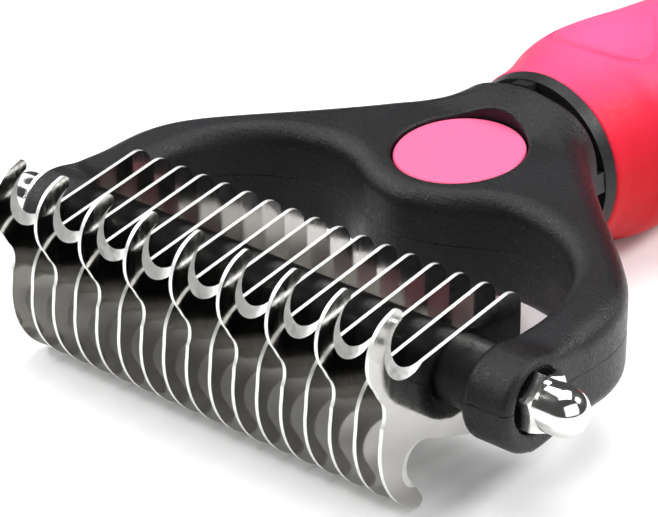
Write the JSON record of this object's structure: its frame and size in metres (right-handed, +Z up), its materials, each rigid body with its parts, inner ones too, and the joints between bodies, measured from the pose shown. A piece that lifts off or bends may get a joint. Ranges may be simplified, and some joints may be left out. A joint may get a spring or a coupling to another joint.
{
  "type": "undercoat rake",
  "caption": "Undercoat rake for pets: a row of hooked steel blades on a clamped tie rod in a black fork head, with a round soft-touch handle and a hanging hole.",
  "frame": {"origin": "bottom centre of the bounding box: below the handle, midway between the blades' front edges and the butt", "axes": "+Y from the blades toward the handle's butt, +X along the tie rod, +Z up, with the large hooks on the upper side"},
  "size_m": [0.1088, 0.1896, 0.0348],
  "materials": {
    "shell_black": "fine-grain textured ABS",
    "core_black": "satin",
    "spacer_black": "satin",
    "grip_pink": "soft-touch satin",
    "badge_pink": "satin gloss",
    "blade_steel": "mirror polished stainless steel",
    "rod_steel": "drawn",
    "washer_steel": "plain zinc",
    "screw_zinc": "zinc plated",
    "nut_chrome": "nickel-chrome plated, polished"
  },
  "bodies": {
    "root": {"upper_shell": "shell_black", "lower_shell": "shell_black", "upper_badge": "badge_pink", "lower_badge": "badge_pink", "hub_screw": "screw_zinc", "handle_core": "core_black", "grip_sleeve": "grip_pink", "tie_rod": "rod_steel", "left_end_spacer": "spacer_black", "right_end_spacer": "spacer_black", "left_washer": "washer_steel", "right_washer": "washer_steel", "left_acorn_nut": "nut_chrome", "right_acorn_nut": "nut_chrome", "blade_01": "blade_steel", "blade_02": "blade_steel", "blade_03": "blade_steel", "blade_04": "blade_steel", "blade_05": "blade_steel", "blade_06": "blade_steel", "blade_07": "blade_steel", "blade_08": "blade_steel", "blade_09": "blade_steel", "blade_10": "blade_steel", "blade_11": "blade_steel", "blade_12": "blade_steel", "blade_13": "blade_steel", "blade_14": "blade_steel", "blade_15": "blade_steel", "blade_16": "blade_steel", "blade_17": "blade_steel", "spacer_01": "spacer_black", "spacer_02": "spacer_black", "spacer_03": "spacer_black", "spacer_04": "spacer_black", "spacer_05": "spacer_black", "spacer_06": "spacer_black", "spacer_07": "spacer_black", "spacer_08": "spacer_black", "spacer_09": "spacer_black", "spacer_10": "spacer_black", "spacer_11": "spacer_black", "spacer_12": "spacer_black", "spacer_13": "spacer_black", "spacer_14": "spacer_black", "spacer_15": "spacer_black", "spacer_16": "spacer_black"}
  },
  "joints": []
}
